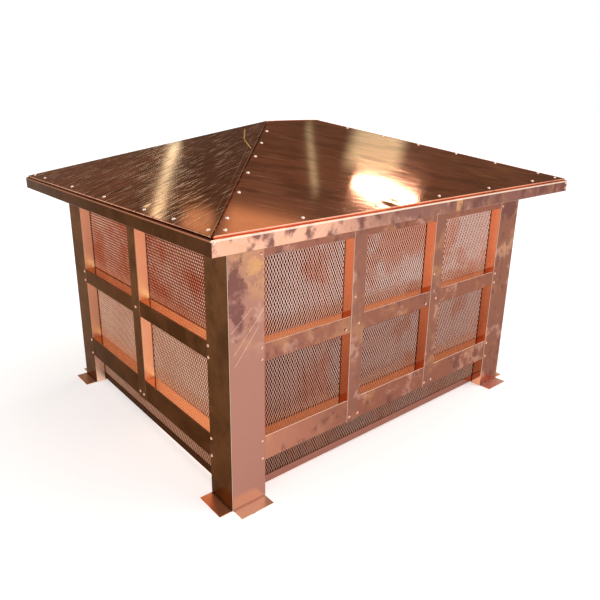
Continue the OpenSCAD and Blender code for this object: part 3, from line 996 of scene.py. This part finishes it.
def shade_and_glow():
    """Painted shade in dark bands to the camera, and a painted warm glow with sun patches to the
    sheets.
    """
    graph = CopperGraph("shade_and_glow")
    z = graph.z
    bands = graph.smooth(graph.streaks(0.03, 0.03, (0, 0, 0), depth=3.0), 0.52, 0.66)
    painted_shade_seen = graph.blend(bands, (0.012, 0.002, 0.001), (0.06, 0.012, 0.006))
    # Painted reflection: the warm glow that the sheets mirror.
    painted_glow = graph.blend(graph.smooth(z, 0.1, 0.5), (0.3, 0.17, 0.12), (0.8, 0.52, 0.4))
    on_west = graph.smooth(-graph.x, 0.4, 0.41)
    painted_glow = graph.blend(on_west * graph.smooth(-graph.y, -0.05, 0.05), painted_glow, (1.2, 0.72, 0.5))
    # Painted sunlight: two brighter patches low on the west side, for the sheets to mirror.
    for base in SUN_PATCH_BASES:
        sun_patch = graph.smooth(z, base, base + 0.015) * graph.fall(z, base + 0.03, base + 0.05)
        painted_glow = graph.blend(on_west * sun_patch, painted_glow, (2.0, 1.7, 0.9))
    to_camera = graph.add("ShaderNodeLightPath", output="Is Camera Ray")
    shader = graph.add(
        "ShaderNodeBsdfPrincipled",
        {},
        {
            "Base Color": (0.0, 0.0, 0.0, 1.0),
            "Roughness": 0.9,
            "Specular IOR Level": 0.0,
            "Emission Color": graph.blend(to_camera, painted_glow, painted_shade_seen),
            "Emission Strength": 1.0,
        },
    )
    graph.add("ShaderNodeOutputMaterial", {}, {"Surface": shader})
    return graph.material


shade_box_finish = shade_and_glow()
print("lining:", len(shade_box_finish.node_tree.nodes), "nodes")

# %% [markdown]
# The painted-shade box is sized in edit mode, and a dark sheet of painted shade lies on the
# ground inside the strips, so that the floor doesn't shine up through the mesh. The sheet is
# scaled as an object, which stretches the box's pattern over it.

# %% Painted-shade box and sheet
deselect_all()
bpy.ops.mesh.primitive_cube_add(size=2.0)
shade_box = start_piece("shade_box")
half_height = 266 * MM
bpy.ops.object.mode_set(mode="EDIT")
bpy.ops.transform.resize(value=(-body_left - 40 * MM, -body_front - 40 * MM, half_height))
bpy.ops.transform.translate(value=(0, 0, half_height + 2 * MM))
bpy.ops.object.mode_set(mode="OBJECT")
shade_box.data.materials.append(shade_box_finish)

deselect_all()
bpy.ops.mesh.primitive_plane_add(size=2.0, location=(0, 0, 0.5 * MM))
shade_sheet = start_piece("shade_sheet")
bpy.ops.transform.resize(value=(-body_left - 32 * MM, -body_front - 32 * MM, 1))
shade_sheet.data.materials.append(shade_box_finish)
print("lining:", tuple(shade_box.dimensions), "cloth:", tuple(shade_sheet.dimensions))

# %% [markdown]
# Bright sheet metal shows its surroundings more than its own colour, so the lamps are chosen
# for what the roof mirrors. A broad, weak sun from the right gives the shadow. The window and
# the strips stand behind the object, where a line of sight goes after it meets the roof. A
# place for each is found by going out from a point of the roof, towards an azimuth and an
# elevation. They could be put by eye, but then a change of the roof would be a new search.


# %% Lamps
LAMP_DISTANCE = 3.0
ROOF_MIDDLE = Vector((0, 0, 0.6))


def aim(azimuth, elevation):
    """The direction to a lamp, turned from +Y towards +X and up, in degrees."""
    turn, lift = math.radians(azimuth), math.radians(elevation)
    level = math.cos(lift)
    return Vector((math.sin(turn) * level, math.cos(turn) * level, math.sin(lift)))


def beyond(x, y, z, azimuth, elevation):
    """The place that lies a lamp's distance from a point of the roof, in millimetres."""
    return Vector((x, y, z)) * MM + aim(azimuth, elevation) * LAMP_DISTANCE


def add_lamp(name, data, matrix):
    lamp = bpy.data.objects.new(name, data)
    lamp.matrix_world = matrix
    bpy.context.collection.objects.link(lamp)
    print(name, "at", tuple(round(value, 2) for value in lamp.location))


def add_sun(name, azimuth, elevation, strength, angle, colour):
    """A sun whose disc is the given angle wide, for softer or sharper shadows."""
    data = bpy.data.lights.new(name, "SUN")
    data.energy = strength
    data.angle = math.radians(angle)
    data.color = colour
    add_lamp(name, data, aim(azimuth, elevation).to_track_quat("Z", "Y").to_matrix().to_4x4())


add_sun("key_sun", azimuth=110, elevation=48, strength=1.0, angle=65.0, colour=(1.0, 0.98, 0.95))

# %% [markdown]
# An area lamp has hard edges, and a polished roof would show them. Its own node tree fades
# the light towards the edges: the Parametric output runs from 0 to 1 along both sides of the
# lamp, and the distance from the nearer edge makes the mask. The strength is given as what
# the roof would mirror, where 1 is white, so the power follows from the lamp's size.


# %% Soft lamps behind the object
def add_bar(name, start, end, width, radiance, colour, shape="RECTANGLE", soft=(0.3, 0.3)):
    """A lamp that runs from start to end, faces the roof and fades along and across."""
    along = (end - start).normalized()
    middle = (start + end) / 2
    across = (middle - ROOF_MIDDLE).cross(along).normalized()
    data = bpy.data.lights.new(name, "AREA")
    data.shape = shape
    data.size, data.size_y = (end - start).length, width
    data.energy = radiance * math.pi * data.size * data.size_y
    data.color = colour
    graph = Graph(data)
    long_way, short_way, _ = graph.split(graph.add("ShaderNodeNewGeometry", output="Parametric"))
    fade = 1.0
    for place, edge in ((long_way, soft[0]), (short_way, soft[1])):
        fade = graph.smooth(0.5 - abs(place - 0.5), 0.0, edge) * fade
    shade = graph.blend(fade, (0.0, 0.0, 0.0), (1.0, 1.0, 1.0))
    shader = graph.add("ShaderNodeEmission", {}, {"Color": shade, "Strength": 1.0})
    graph.add("ShaderNodeOutputLight", {}, {"Surface": shader})
    turn = Matrix((along, across, along.cross(across))).transposed()
    add_lamp(name, data, Matrix.Translation(middle) @ turn.to_4x4())


AMBER = (1.0, 0.72, 0.42)
add_bar("window", beyond(-118, -338, 605, 55.4, 30.0), beyond(-60, -452, 567, 63.2, 29.0),
        width=0.15, radiance=14.0, colour=(1.0, 0.97, 0.9), shape="ELLIPSE", soft=(0.02, 0.02))
add_bar("window_glow", beyond(-46, -330, 605, 56.5, 28.4), beyond(204, -100, 678, 55.5, 24.0),
        width=0.5, radiance=1.5, colour=(0.68, 1.0, 0.82), soft=(0.1, 0.25))
add_bar("left_strip", beyond(-200, 225, 672, 22.8, 18.6), beyond(-560, -318, 558, 15.4, 24.4),
        width=0.105, radiance=2.7, colour=(0.72, 1.0, 0.84), soft=(0.04, 0.4))
add_bar("front_strip", beyond(40, -5, 710, 48.1, 26.8), beyond(-266, -386, 588, 53.1, 33.4),
        width=0.075, radiance=0.75, colour=(0.6, 1.0, 0.85), soft=(0.1, 0.4))
add_bar("warm_left", beyond(-497, -262, 578, 17.7, 25.5), beyond(-501, -400, 578, 21, 28.5),
        width=0.26, radiance=1.15, colour=AMBER)
add_bar("warm_front", beyond(-440, -352, 600, 43, 41), beyond(-300, -430, 577, 56, 38.8),
        width=0.36, radiance=0.62, colour=AMBER, soft=(0.2, 0.12))

# %% [markdown]
# The room is white up to a little above eye level all round. Above that it is dark brown to
# the north-east, which is the part that the roof mirrors to the camera, and pale everywhere
# else, so the pans look brown and the upright faces light. An image of a room would do the
# same, but three soft steps of the direction are enough.

# %% Room
room = bpy.data.worlds.new("room")
bpy.context.scene.world = room
air = Graph(room)
east, north, height = air.split(air.add("ShaderNodeTexCoord", output="Generated"))
behind = air.smooth(north, -0.35, -0.05) * air.smooth(east, -0.3, 0.05)
upper = air.blend(behind, (0.92, 0.92, 0.92), (0.19, 0.145, 0.11))
band_low, band_high = (math.sin(math.radians(angle)) for angle in (9.5, 13.5))
around = air.blend(air.smooth(height, band_low, band_high), (1.0, 1.0, 1.0), upper)
backdrop = air.add("ShaderNodeBackground", {}, {"Color": around, "Strength": 1.0})
air.add("ShaderNodeOutputWorld", {}, {"Surface": backdrop})
print("room:", len(room.node_tree.nodes), "nodes,", len(bpy.data.lights), "lamps")
